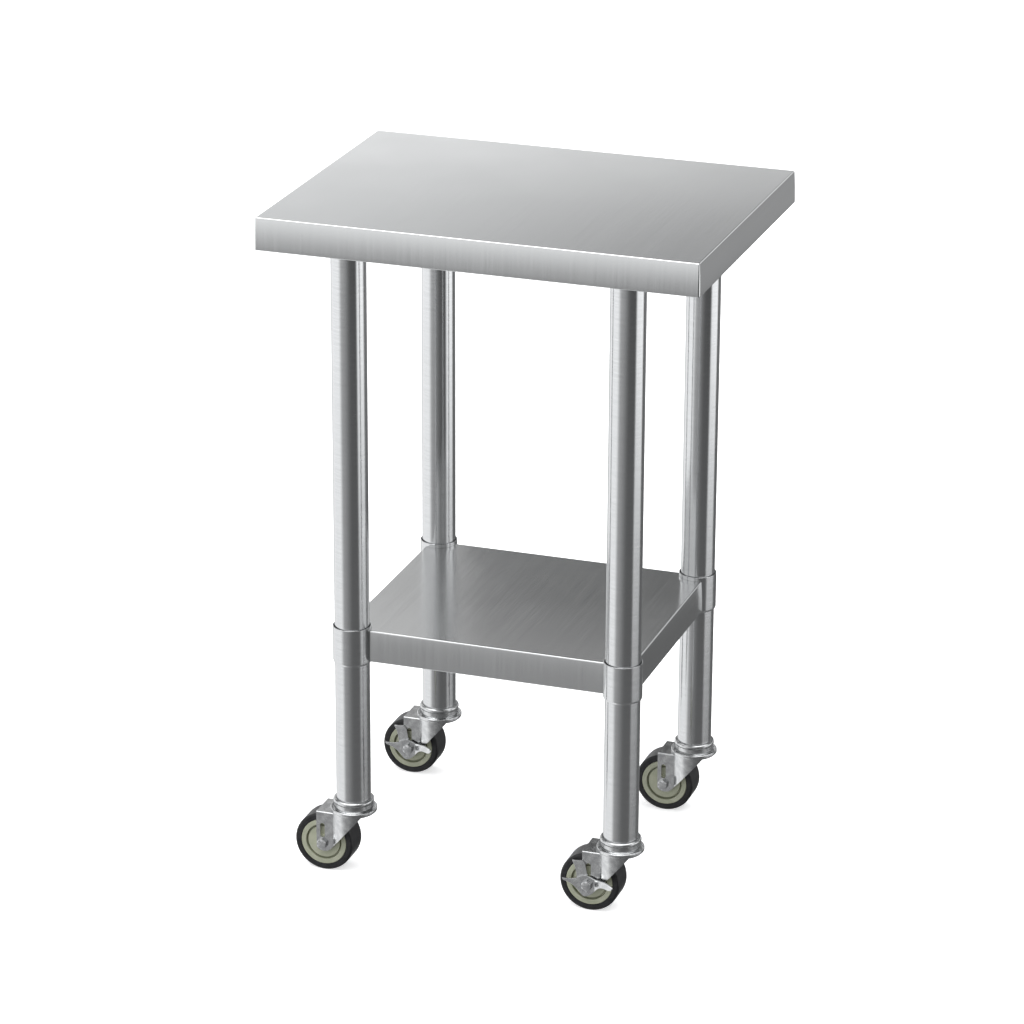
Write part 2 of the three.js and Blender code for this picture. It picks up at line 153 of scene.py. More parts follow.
SLEEVE_RADIUS = 6.2
BOLT_RADIUS = 3.9
BOLT_HOLE = 4.3
BOLT_HEAD = 5.3
HEX_RADIUS = 7.5
NUT_HEIGHT = 6.5

PLATE = 2
LEVER = 2.4
PEDAL_START = 12
PEDAL_BEND = radians(32)
BEND_WIDTH = 5

# A cutting tool reaches about this far past what it cuts.
REACH = 40

# ------------------------------------------------------------------ camera, in metres and degrees

CAMERA_AZIMUTH = radians(18.91)
CAMERA_ELEVATION = radians(20.66)
CAMERA_ROLL = radians(0.25)
CAMERA_DISTANCE = 5.751
CAMERA_LENS = 147.08
CAMERA_TARGET = Vector((-0.0236, 0, 0.4887))

# ------------------------------------------------------------------ meshes


def finish_mesh(name, bm):
    """A mesh in metres, smooth where its faces meet under the angle, its large faces kept flat."""
    bmesh.ops.remove_doubles(bm, verts=bm.verts, dist=1e-4)
    bmesh.ops.recalc_face_normals(bm, faces=bm.faces)
    bmesh.ops.scale(bm, vec=(MM, MM, MM), verts=bm.verts)
    rough = bpy.data.meshes.new(f"{name}_rough")
    bm.to_mesh(rough)
    bm.free()
    rough.shade_smooth()
    rough.set_sharp_from_angle(angle=SMOOTH_ANGLE)
    thing = bpy.data.objects.new(name, rough)
    bpy.context.scene.collection.objects.link(thing)
    weighting = thing.modifiers.new("flat_faces", "WEIGHTED_NORMAL")
    weighting.keep_sharp = True
    weighting.weight = 90
    bpy.context.view_layer.update()
    mesh = bpy.data.meshes.new_from_object(thing.evaluated_get(bpy.context.evaluated_depsgraph_get()))
    mesh.name = name
    bpy.data.objects.remove(thing)
    return mesh


def add_piece(name, mesh, place, body, slot, material, *nodes):
    """Puts a mesh in the scene as a piece that stands for the given CAD nodes."""
    piece = bpy.data.objects.new(name, mesh)
    bpy.context.scene.collection.objects.link(piece)
    piece.location = Vector(place) * MM
    if not mesh.materials:
        mesh.materials.append(material)
    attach(piece, body)
    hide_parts(*nodes)
    return piece


def rounded(points, radius):
    """The closed outline with each corner turned into an arc. The radius is one number, or one a corner."""
    count = len(points)
    radii = radius if isinstance(radius, (list, tuple)) else [radius] * count
    outline = []
    for i, point in enumerate(points):
        corner = Vector(point)
        towards_last = (Vector(points[i - 1]) - corner).normalized()
        towards_next = (Vector(points[(i + 1) % count]) - corner).normalized()
        half = towards_last.angle(towards_next) / 2
        if radii[i] <= 0 or half > radians(88):
            outline.append(corner)
            continue
        reach = radii[i] / tan(half)
        centre = corner + (towards_last + towards_next).normalized() * radii[i] / sin(half)
        start = corner + towards_last * reach - centre
        end = corner + towards_next * reach - centre
        turn = -start.angle_signed(end)
        steps = max(2, ceil(abs(turn) / radians(15)))
        for k in range(steps + 1):
            outline.append(centre + Matrix.Rotation(turn * k / steps, 2) @ start)
    return outline


def arc(x, z, radius, from_degrees, to_degrees, steps):
    """Points along an arc, both ends included."""
    points = []
    for k in range(steps + 1):
        angle = radians(from_degrees + (to_degrees - from_degrees) * k / steps)
        points.append(Vector((x + radius * cos(angle), z + radius * sin(angle))))
    return points


def curve_through(start, bend, end, steps=8):
    """Points along a quadratic curve, without its first point."""
    points = []
    for k in range(1, steps + 1):
        t = k / steps
        point = Vector(start) * (1 - t) ** 2 + Vector(bend) * 2 * t * (1 - t) + Vector(end) * t ** 2
        points.append(point)
    return points


def lathe(profile, sides=SIDES, axis="Z"):
    """A closed solid of revolution. The profile is a list of (radius, height) points;
    where it touches the axis it has radius 0 there and is open between those two points."""
    bm = bmesh.new()
    rings = []
    for radius, height in profile:
        if radius < 1e-6:
            rings.append([bm.verts.new((0, 0, height))])
            continue
        ring = []
        for k in range(sides):
            angle = 2 * pi * k / sides
            ring.append(bm.verts.new((radius * cos(angle), radius * sin(angle), height)))
        rings.append(ring)
    for low, high in zip(rings, rings[1:] + rings[:1]):
        if len(low) == 1 and len(high) == 1:
            continue
        for k in range(sides):
            after = k + 1
            face = []
            for ring, place in ((low, k), (low, after), (high, after), (high, k)):
                vert = ring[place % len(ring)]
                if vert not in face:
                    face.append(vert)
            bm.faces.new(face)
    if axis == "Y":
        bmesh.ops.rotate(bm, verts=bm.verts, matrix=Matrix.Rotation(radians(90), 3, "X"))
    return bm


def rod(radius, low, high, sides=SIDES, axis="Z"):
    """A plain round bar from one height to another."""
    return lathe([(0, low), (radius, low), (radius, high), (0, high)], sides, axis)


def prism(outline, low, high, axis="Y"):
    """A solid with a flat outline, from one coordinate to a higher one along the axis."""
    bm = bmesh.new()
    ends = []
    for place in (low, high):
        end = []
        for point in outline:
            corner = [point[0], point[1]]
            corner.insert("XYZ".index(axis), place)
            end.append(bm.verts.new(corner))
        ends.append(end)
    count = len(outline)
    bm.faces.new(ends[0])
    bm.faces.new(list(reversed(ends[1])))
    for k in range(count):
        after = (k + 1) % count
        bm.faces.new((ends[0][k], ends[1][k], ends[1][after], ends[0][after]))
    bmesh.ops.recalc_face_normals(bm, faces=bm.faces)
    return bm


def moved(bm, x=0, y=0, z=0):
    """The solid after a shift, given back so that calls can be nested."""
    bmesh.ops.translate(bm, verts=bm.verts, vec=(x, y, z))
    return bm


def temporary(bm):
    """An object that lives only while a boolean needs it."""
    mesh = bpy.data.meshes.new("temporary")
    bmesh.ops.recalc_face_normals(bm, faces=bm.faces)
    bm.to_mesh(mesh)
    bm.free()
    thing = bpy.data.objects.new("temporary", mesh)
    bpy.context.scene.collection.objects.link(thing)
    return thing


def apply_modifiers(thing):
    """The object's mesh after its modifiers, as a bmesh."""
    bpy.context.view_layer.update()
    seen = thing.evaluated_get(bpy.context.evaluated_depsgraph_get())
    bm = bmesh.new()
    bm.from_mesh(seen.to_mesh())
    seen.to_mesh_clear()
    return bm


def carve(base, steps):
    """Joins, cuts or keeps the overlap of solids in turn: steps is a list of (operation, solid)."""
    thing = temporary(base)
    tools = []
    for operation, solid in steps:
        tool = temporary(solid)
        tools.append(tool)
        boolean = thing.modifiers.new("carve", "BOOLEAN")
        boolean.operation = operation
        boolean.object = tool
        boolean.solver = "EXACT"
    result = apply_modifiers(thing)
    for used in [thing, *tools]:
        bpy.data.objects.remove(used)
    bmesh.ops.remove_doubles(result, verts=result.verts, dist=1e-4)
    bmesh.ops.dissolve_degenerate(result, edges=result.edges, dist=1e-4)
    return result


def soften(bm, width):
    """Rounds every edge that is sharper than 35 degrees."""
    edges = [e for e in bm.edges if len(e.link_faces) == 2 and e.calc_face_angle() > radians(35)]
    bmesh.ops.bevel(
        bm, geom=edges, offset=width, offset_type="OFFSET", segments=2,
        profile=0.5, affect="EDGES", clamp_overlap=True,
    )
    return bm


# ------------------------------------------------------------------ top and undershelf


def rounded_rectangle(length, depth, inset):
    """A ring of points round a rectangle whose corner radius shrinks with the inset."""
    radius = max(CORNER_RADIUS - inset, 0.15)
    x = length / 2 - inset - radius
    y = depth / 2 - inset - radius
    ring = []
    for centre_x, centre_y, start in ((x, y, 0), (-x, y, 90), (-x, -y, 180), (x, -y, 270)):
        ring += arc(centre_x, centre_y, radius, start, start + 90, 6)
    return ring


def apron_lean(down):
    """How far the folded edge stands in, from 0 at its top to 1 at its foot: it bows out a little."""
    fullest = 1.1
    return APRON_CROWN * ((down - fullest) / fullest) ** 2


def pan_section():
    """The folded sheet's section as (inset, height) points: down from the face, round the hem, back up."""
    steps = 8
    top = -FOLD_RADIUS
    bottom = -EDGE_HEIGHT + SHEET
    foot = apron_lean(1)
    bend = 1
    section = arc(apron_lean(0) + FOLD_RADIUS, top, FOLD_RADIUS, 90, 180, 6)
    for k in range(1, steps + 1):
        section.append(Vector((apron_lean(k / steps), top + (bottom - top) * k / steps)))
    section += arc(foot + SHEET, bottom, SHEET, 180, 270, 5)[1:]
    section += arc(HEM - SHEET / 2, -EDGE_HEIGHT + SHEET / 2, SHEET / 2, -90, 90, 6)
    section += arc(foot + SHEET + 0.1 + bend, bottom + bend, bend, 270, 180, 4)
    section.append(Vector((SHEET, -EDGE_HEIGHT / 2)))
    section += arc(SHEET + bend, -SHEET - bend, bend, 180, 90, 4)
    return section


def folded_pan(length, depth):
    """A sheet with its four edges folded down and hemmed; the face lies at height 0."""
    bm = bmesh.new()
    rings = []
    for inset, height in pan_section():
        ring = [bm.verts.new((p.x, p.y, height)) for p in rounded_rectangle(length, depth, inset)]
        rings.append(ring)
    for upper, lower in zip(rings, rings[1:]):
        count = len(upper)
        for k in range(count):
            after = (k + 1) % count
            bm.faces.new((upper[k], lower[k], lower[after], upper[after]))
    bm.faces.new(rings[0])
    bm.faces.new(list(reversed(rings[-1])))
    bmesh.ops.recalc_face_normals(bm, faces=bm.faces)
    return bm


def add_top(sheet_material):
    mesh = finish_mesh("worktop_sheet", folded_pan(TABLE_LENGTH, TABLE_DEPTH))
    place = (0, 0, TABLE_HEIGHT)
    add_piece("worktop_sheet", mesh, place, "frame", "stainless_sheet", sheet_material, "top_pan")


def add_undershelf(sheet_material):
    """The shelf's corners are cut out round the four collars."""
    holes = []
    for code in CODES:
        hole = rod(COLLAR_RADIUS + GAP, -EDGE_HEIGHT - REACH, REACH)
        holes.append(("DIFFERENCE", moved(hole, SWIVEL[code].x, SWIVEL[code].y)))
    mesh = finish_mesh("shelf_sheet", carve(folded_pan(SHELF_LENGTH, SHELF_DEPTH), holes))
    place = (0, 0, SHELF_HEIGHT)
    add_piece("shelf_sheet", mesh, place, "shelf", "stainless_sheet", sheet_material, "undershelf")


# ------------------------------------------------------------------ legs, sockets, collars


def tube_mesh():
    inner = LEG_RADIUS - LEG_WALL
    section = [(inner, leg_low.z), (LEG_RADIUS, leg_low.z), (LEG_RADIUS, leg_high.z), (inner, leg_high.z)]
    return finish_mesh("leg_tube", lathe(rounded(section, 0.4)))


def socket_mesh():
    """Plate under the channel with a sleeve that takes the leg's upper end."""
    top = socket_high.z
    end = socket_low.z
    below = top - SOCKET_PLATE
    section = rounded([
        (SLEEVE_BORE, below),
        (SLEEVE_BORE, end),
        (SOCKET_RADIUS, end),
        (SOCKET_RADIUS, below - 9),
        (SOCKET_PLATE_RADIUS, below),
        (SOCKET_PLATE_RADIUS, top),
    ], [0, 0.5, 0.8, 3, 0.8, 0.5])
    return finish_mesh("socket", lathe([(0, below), *section, (0, top)]))


def collar_mesh():
    """Sleeve with a rounded foot; its mouth flares a little, so that a dark line shows round the leg."""
    low = collar_low.z
    high = collar_high.z
    flare = 1.1
    section = rounded([
        (SLEEVE_BORE, low),
        (COLLAR_RADIUS - 1.2, low),
        (COLLAR_RADIUS, low + 3),
        (COLLAR_RADIUS, high),
        (SLEEVE_BORE + flare, high),
        (SLEEVE_BORE, high - 4),
    ], [0.3, 1, 2.5, 0.42, 0.42, 2])
    return finish_mesh("collar", lathe(section))


def add_legs(tube_material, galvanized_material):
    tube = tube_mesh()
    socket = socket_mesh()
    collar = collar_mesh()
    stainless = ("stainless_tube", tube_material)
    galvanized_steel = ("galvanized_steel", galvanized_material)
    for code in CODES:
        place = (SWIVEL[code].x, SWIVEL[code].y, 0)
        add_piece(f"tube_{code}", tube, place, "frame", *stainless, f"leg_{code}")
        add_piece(f"socket_{code}", socket, place, "frame", *galvanized_steel, f"leg_socket_{code}")
        add_piece(f"collar_{code}", collar, place, "shelf", *stainless, f"shelf_collar_{code}")


# ------------------------------------------------------------------ casters
# Each mesh is drawn about its swivel axis, at its real height, trailing to -X.


def at_axle(bm):
    """A solid drawn about the axle's middle, moved to where the axle is."""
    return moved(bm, -TRAIL, 0, AXLE_HEIGHT)


def axle_drill():
    """The bar that cuts the bolt's hole, drawn about the axle."""
    return rod(BOLT_HOLE, -REACH, REACH, SMALL_SIDES, "Y")


def stem_mesh():
    """Kingpin with its riveted foot, and the plug that fills the end of the leg."""
    rivet_top = CROWN_BOTTOM - GAP
    rivet_foot = rivet_top - 3
    plug_radius = LEG_RADIUS - LEG_WALL - 0.5
    plug_top = leg_low.z + 44
    rivet = curve_through((0, rivet_foot), (8, rivet_foot), (9, rivet_top))
    section = [
        (0, rivet_foot), *rivet,
        (KINGPIN_RADIUS, rivet_top), (KINGPIN_RADIUS, leg_low.z), (plug_radius, leg_low.z),
        (plug_radius, plug_top - 4), (plug_radius - 3, plug_top), (0, plug_top),
    ]
    return finish_mesh("stem", lathe(section))


def head_mesh():
    """Upper race with the rolled bead that stands round the end of the leg."""
    seat = leg_low.z - GAP
    foot = RACE_TOP - 3
    wall = 27.3
    bead = 28.4
    section = rounded([
        (KINGPIN_HOLE, foot),
        (wall - 1.7, foot),
        (wall, RACE_TOP + 0.6),
        (wall, seat - 4.6),
        (bead, seat - 4.6),
        (bead, seat + 1.3),
        (SLEEVE_BORE, seat + 1.3),
        (SLEEVE_BORE, seat),
        (KINGPIN_HOLE, seat),
    ], [0.2, 0.4, 0.8, 0.4, 2.2, 2.4, 0.4, 0.1, 0.3])
    return finish_mesh("head", lathe(section))


def edge_start():
    """Where the side plate's round pad runs into its sloping edge."""
    return Vector((PAD_X + PAD_RADIUS * sin(EDGE_SLOPE), PAD_Z - PAD_RADIUS * cos(EDGE_SLOPE)))


def edge_height_at(x):
    start = edge_start()
    return start.y + (x - start.x) * tan(EDGE_SLOPE)


def fork_plates():
    """Crown over the wheel and two side plates: a bent channel, trimmed to the plates' outline."""
    bent = rounded([
        (-FORK_OUTER, PLATE_LOW), (-FORK_INNER, PLATE_LOW),
        (-FORK_INNER, CROWN_BOTTOM), (FORK_INNER, CROWN_BOTTOM),
        (FORK_INNER, PLATE_LOW), (FORK_OUTER, PLATE_LOW),
        (FORK_OUTER, CROWN_TOP), (-FORK_OUTER, CROWN_TOP),
    ], [0, 0, 0.5, 0.5, 0, 0, 1.5, 1.5])
    back_angle = 180 + degrees(acos((PAD_X - FORK_BACK) / PAD_RADIUS))
    above = CROWN_TOP + 5
    side = [Vector((FORK_BACK, above))]
    side += arc(PAD_X, PAD_Z, PAD_RADIUS, back_angle, 270 + degrees(EDGE_SLOPE), 24)
    side.append(Vector((SEAM, edge_height_at(SEAM))))
    side.append(Vector((SEAM, above)))
    channel = prism(bent, FORK_BACK, SEAM, "X")
    return carve(channel, [("INTERSECT", prism(side, -REACH, REACH))])


def fork_skirt():
    """Round skirt under the race, cut off along the plates' slope."""
    top = CROWN_TOP + 1
    above = top + 1
    inner = SKIRT_RADIUS - FORK_SHEET
    tube = lathe([(inner, PLATE_LOW), (SKIRT_RADIUS, PLATE_LOW), (SKIRT_RADIUS, top), (inner, top)])
    start = edge_start()
    top_x = start.x + (above - start.y) / tan(EDGE_SLOPE)
    kept = [Vector((CREASE, edge_height_at(CREASE))), Vector((top_x, above)), Vector((CREASE, above))]
    return carve(tube, [("INTERSECT", prism(kept, -REACH, REACH))])


def fork_dish():
    """Lower race: a shallow dish with a raised rim."""
    floor = CROWN_TOP - 0.8
    rim = RACE_RADIUS - RACE_SHEET
    return lathe(rounded([
        (KINGPIN_HOLE, floor),
        (RACE_RADIUS - 2, floor),
        (RACE_RADIUS, CROWN_TOP + 1.6),
        (RACE_RADIUS, RACE_TOP),
        (rim, RACE_TOP),
        (rim, CROWN_TOP + FORK_SHEET),
        (KINGPIN_HOLE, CROWN_TOP + FORK_SHEET),
    ], [0, 0, 1.2, 1.3, 1.2, 1, 0]))


def fork_mesh():
    """Pressed fork: lower race, round skirt, crown and side plates, with a slot over the axle."""
    slot_radius = 3.4
    slot_top = AXLE_HEIGHT + 27
    slot_foot = AXLE_HEIGHT + 12
    slot = arc(-TRAIL, slot_top, slot_radius, 0, 180, 10)
    slot += arc(-TRAIL, slot_foot, slot_radius, 180, 360, 10)
    fork = carve(fork_plates(), [
        ("UNION", fork_skirt()),
        ("UNION", fork_dish()),
        ("DIFFERENCE", prism(slot, -REACH, REACH)),
        ("DIFFERENCE", at_axle(axle_drill())),
        ("DIFFERENCE", rod(KINGPIN_HOLE, CROWN_BOTTOM - REACH / 2, RACE_TOP + REACH / 2, SLEEVE_SIDES)),
    ])
    return finish_mesh("fork", fork)


def hexagon_with_chamfer(height, bore):
    """A hexagon along Z from 0, its free end turned to a chamfer, with one corner towards +X."""
    corner = HEX_RADIUS
    flat = corner * cos(pi / 6)
    chamfer = (corner - flat) * 0.75
    outline = [Vector((corner * cos(pi * k / 3), corner * sin(pi * k / 3))) for k in range(6)]
    past = corner + 0.01
    cone = [(0, -1), (past, -1), (past, height - chamfer), (flat - 0.3, height), (0, height)]
    steps = [("INTERSECT", lathe(cone, SLEEVE_SIDES))]
    if bore:
        steps.append(("DIFFERENCE", rod(bore, -2, height + 2, SMALL_SIDES)))
    return carve(prism(outline, 0, height, "Z"), steps)


def turned_to_front(bm):
    """What pointed up now points to -Y, and the corner that was at +X points up."""
    turn = Matrix.Rotation(radians(90), 3, "X") @ Matrix.Rotation(radians(90), 3, "Z")
    bmesh.ops.rotate(bm, verts=bm.verts, matrix=turn)
    return bm


def bolt_mesh(braked):
    """Hexagon bolt through the fork; a braked caster's head sits on the plate and the lever."""
    plates = PLATE + LEVER + 2 * GAP if braked else 0
    seat = FORK_OUTER + GAP + plates
    end = FORK_OUTER + GAP + NUT_HEIGHT + 2
    chamfer = 0.6
    head = moved(turned_to_front(hexagon_with_chamfer(BOLT_HEAD, 0)), 0, -seat, 0)
    shank = lathe([
        (0, -end),
        (BOLT_RADIUS - chamfer, -end),
        (BOLT_RADIUS, -end + chamfer),
        (BOLT_RADIUS, seat + 1),
        (0, seat + 1),
    ], SMALL_SIDES, "Y")
    return finish_mesh("bolt", at_axle(carve(head, [("UNION", shank)])))


def nut_mesh():
    nut = turned_to_front(hexagon_with_chamfer(NUT_HEIGHT, BOLT_HOLE))
    bmesh.ops.rotate(nut, verts=nut.verts, matrix=Matrix.Rotation(pi, 3, "Z"))
    return finish_mesh("nut", at_axle(moved(nut, 0, FORK_OUTER + GAP, 0)))


def sleeve_mesh():
    half = FORK_INNER - GAP
    section = [(BOLT_HOLE, -half), (SLEEVE_RADIUS, -half), (SLEEVE_RADIUS, half), (BOLT_HOLE, half)]
    return finish_mesh("sleeve", at_axle(lathe(rounded(section, 0.3), SLEEVE_SIDES, "Y")))


def both_sides(points):
    """A wheel's section from its half towards +Y: the mirrored half first, so that it runs round once."""
    return [(radius, -y) for radius, y in reversed(points)] + list(points)


def hub_mesh():
    """Moulded hub: a rounded rim, a deep ring groove, a flat web and a boss that reaches the fork."""
    bore = SLEEVE_RADIUS + 0.4
    boss = FORK_INNER - 2 * GAP
    rim = WHEEL_HALF_WIDTH
    web = rim - 1.4
    half = rounded([
        (HUB_RADIUS, 0),
        (HUB_RADIUS, rim),
        (GROOVE_OUTER, rim),
        (GROOVE_OUTER, rim - GROOVE_DEPTH),
        (GROOVE_INNER, rim - GROOVE_DEPTH),
        (GROOVE_INNER, web),
        (BOSS_RADIUS + 0.4, web),
        (BOSS_RADIUS, boss),
        (bore, boss),
        (bore, 0),
    ], [0, 0.9, 0.5, 0.4, 0.4, 0.5, 0.5, 0.5, 0.4, 0])
    return finish_mesh("hub", at_axle(lathe(both_sides(half[1:-1]), SIDES, "Y")))


def tyre_mesh():
    inner = HUB_RADIUS + 0.5
    half = WHEEL_HALF_WIDTH
    section = [(inner, -half), (WHEEL_RADIUS, -half), (WHEEL_RADIUS, half), (inner, half)]
    return finish_mesh("tread", at_axle(lathe(rounded(section, [0.5, 3.2, 3.2, 0.5]), TYRE_SIDES, "Y")))


# ------------------------------------------------------------------ side brake
# The outlines are drawn from the axle: right is +X, up is +Z.


def plate_outline():
    """From the tab at the upper left, down its outer edge, round the axle and up again."""
    outline = [Vector((-23, 32))]
    outline += curve_through((-23, 32), (-17, 24), (-16, 8))
    outline += curve_through((-16, 8), (-14, -7), (0, -8))
    outline += curve_through((0, -8), (9, -6), (7, 5))
    outline += [Vector((-1, 15)), Vector((-4, 29)), Vector((-8, 34))]
    return outline


def brake_plate_mesh():
    """Flat plate with a tab that bends in over the tyre."""
    back = FORK_OUTER + GAP
    plate = soften(prism(plate_outline(), -back - PLATE, -back), 0.4)
    tab = prism([(-22.8, 32), (-22, 30), (-9.6, 31.8), (-9.6, 33.8)], -back - 0.5, -FORK_INNER)
    plate = carve(plate, [("UNION", tab), ("DIFFERENCE", axle_drill())])
    return finish_mesh("brake_plate", at_axle(plate))


def lever_outline():
    """From the tip of the arm, over the axle, round the pedal, and back below."""
    x = PEDAL_START
    outline = [Vector((-36, 5.5))]
    outline += curve_through((-36, 5.5), (-22, 5), (-14, 9))
    outline += curve_through((-14, 9), (-8, 14), (0, 13.5))
    outline += [Vector((x, 8.5)), Vector((x + 18, 11.5))]
    outline += curve_through((x + 18, 11.5), (x + 34, 11.5), (x + 35, 8))
    outline += curve_through((x + 35, 8), (x + 33, 3), (x + 24, 2.5))
    outline += curve_through((x + 24, 2.5), (x + 10, 3), (x + 2, -6))
    outline.append(Vector((4, -15)))
    outline += curve_through((4, -15), (-3, -20), (-8, -15.5))
    outline += curve_through((-8, -15.5), (-15, -6), (-24, -1))
    outline.append(Vector((-35, 2.5)))
    return outline


def bend_pedal(lever):
    """Bends what lies past the pedal's start towards -Y, over a short round."""
    cuts = 6
    start = PEDAL_START - BEND_WIDTH / 2
    radius = BEND_WIDTH / PEDAL_BEND
    for k in range(cuts + 1):
        geometry = lever.verts[:] + lever.edges[:] + lever.faces[:]
        cut = (start + BEND_WIDTH * k / cuts, 0, 0)
        bmesh.ops.bisect_plane(lever, geom=geometry, plane_co=cut, plane_no=(1, 0, 0))
    for vert in lever.verts:
        along = vert.co.x - start
        if along <= 0:
            continue
        angle = min(along / radius, PEDAL_BEND)
        beyond = max(along - BEND_WIDTH, 0)
        out = radius + vert.co.y
        vert.co.x = start + out * sin(angle) + beyond * cos(angle)
        vert.co.y = out * cos(angle) - radius - beyond * sin(angle)
    return lever


def brake_lever_mesh():
    """A long arm to the left, a rounded point below and a pedal at the right, bent outwards."""
    back = FORK_OUTER + PLATE + 2 * GAP
    lever = soften(prism(lever_outline(), -LEVER, 0), 0.5)
    lever = bend_pedal(carve(lever, [("DIFFERENCE", axle_drill())]))
    return finish_mesh("brake_lever", at_axle(moved(lever, 0, -back, 0)))


def add_casters(zinc_material, hub_material, tyre_material):
    """Four casters that share their meshes; the side brakes and longer bolts are on two of them."""
    stem = stem_mesh()
    head = head_mesh()
    fork = fork_mesh()
    nut = nut_mesh()
    sleeve = sleeve_mesh()
    hub = hub_mesh()
    tread = tyre_mesh()
    bolts = {braked: bolt_mesh(braked) for braked in (False, True)}
    plate = brake_plate_mesh()
    lever = brake_lever_mesh()
    zinc = ("bright_zinc", zinc_material)
    plastic = ("hub_plastic", hub_material)
    rubber = ("tyre_rubber", tyre_material)
    for code in CODES:
        braked = code in BRAKED
        place = (SWIVEL[code].x, SWIVEL[code].y, 0)
        swivel = f"swivel_{code}"
        wheel = f"wheel_{code}"
        add_piece(f"stem_{code}", stem, place, "frame", *zinc, f"caster_stem_{code}")
        add_piece(f"head_{code}", head, place, "frame", *zinc, f"caster_head_{code}")
        add_piece(f"fork_{code}", fork, place, swivel, *zinc, f"caster_fork_{code}")
        add_piece(f"bolt_{code}", bolts[braked], place, swivel, *zinc, f"axle_bolt_{code}")
        add_piece(f"nut_{code}", nut, place, swivel, *zinc, f"axle_nut_{code}")
        add_piece(f"sleeve_{code}", sleeve, place, swivel, *zinc, f"axle_sleeve_{code}")
        add_piece(f"hub_{code}", hub, place, wheel, *plastic, f"wheel_hub_{code}")
        add_piece(f"tread_{code}", tread, place, wheel, *rubber, f"tyre_{code}")
        if braked:
            add_piece(f"backplate_{code}", plate, place, swivel, *zinc, f"brake_plate_{code}")
            add_piece(f"lever_{code}", lever, place, f"brake_{code}", *zinc, f"brake_lever_{code}")


# ------------------------------------------------------------------ materials


class Graph:
    """The nodes of a material or a world, with short calls that add one and link what it is given."""

    def __init__(self, owner):
        owner.use_nodes = True
        self.owner = owner
        self.tree = owner.node_tree

    def set(self, node, socket, value):
        target = node.inputs[socket]
        if isinstance(value, bpy.types.NodeSocket):
            self.tree.links.new(value, target)
        else:
            target.default_value = value

    def add(self, kind, inputs=None, output=0, **settings):
        node = self.tree.nodes.new(kind)
        for key, value in settings.items():
            setattr(node, key, value)
        for socket, value in (inputs or {}).items():
            self.set(node, socket, value)
        return node.outputs[output]

    def math(self, operation, first, second=0.0):
        return self.add("ShaderNodeMath", {0: first, 1: second}, operation=operation)

    def times(self, first, *others):
        result = first
        for other in others:
            result = self.math("MULTIPLY", result, other)
        return result

    def plus(self, first, *others):
        result = first
        for other in others:
            result = self.math("ADD", result, other)
        return result

    def size(self, value):
        """The value without its sign."""
        return self.math("ABSOLUTE", value)

    def split(self, vector):
        node = self.tree.nodes.new("ShaderNodeSeparateXYZ")
        self.set(node, 0, vector)
        return node.outputs

    def join(self, x, y, z):
        return self.add("ShaderNodeCombineXYZ", {0: x, 1: y, 2: z})

    def noise(self, vector, scale, detail, roughness):
        inputs = {"Vector": vector, "Scale": scale, "Detail": detail, "Roughness": roughness}
        return self.add("ShaderNodeTexNoise", inputs)

    def grain(self, across, along, detail, roughness):
        """Noise drawn out along the grain; the two places are already scaled."""
        return self.noise(self.join(across, along, 0.0), 1.0, detail, roughness)

    def between(self, value, from_low, from_high, low, high):
        """Carries a value from one range to another and holds it there."""
        inputs = {0: value, 1: from_low, 2: from_high, 3: low, 4: high}
        return self.add("ShaderNodeMapRange", inputs)

    def share(self, value, low, high):
        """0 up to the low value, 1 from the high value on."""
        return self.between(value, low, high, 0.0, 1.0)

    def smooth_step(self, value, start, end):
        """As share, with soft ends; the start may be the higher of the two."""
        inputs = {0: value, 1: start, 2: end}
        return self.add("ShaderNodeMapRange", inputs, interpolation_type="SMOOTHSTEP")

    def window(self, value, low, high, blur):
        """1 between two values and 0 outside, with a soft change round each."""
        rise = self.smooth_step(value, low - blur, low + blur)
        fall = self.smooth_step(value, high + blur, high - blur)
        return self.times(rise, fall)

    def choose(self, test, if_true, if_false):
        """One of two values, by a test that is 0 or 1."""
        node = self.tree.nodes.new("ShaderNodeMix")
        node.data_type = "FLOAT"
        self.set(node, 0, test)
        self.set(node, 2, if_false)
        self.set(node, 3, if_true)
        return node.outputs[0]

    def blend(self, share, dark, light):
        """A colour between two."""
        node = self.tree.nodes.new("ShaderNodeMix")
        node.data_type = "RGBA"
        self.set(node, 0, share)
        self.set(node, 6, (*dark, 1))
        self.set(node, 7, (*light, 1))
        return node.outputs[2]

    def bump(self, height, strength, distance):
        inputs = {"Height": height, "Strength": strength, "Distance": distance}
        return self.add("ShaderNodeBump", inputs)

    def surface(self, **inputs):
        """Fills the material's own shader; an underscore stands for a space in a socket's name."""
        shader = self.tree.nodes["Principled BSDF"]
        for socket, value in inputs.items():
            self.set(shader, socket.replace("_", " "), value)
        return self.owner


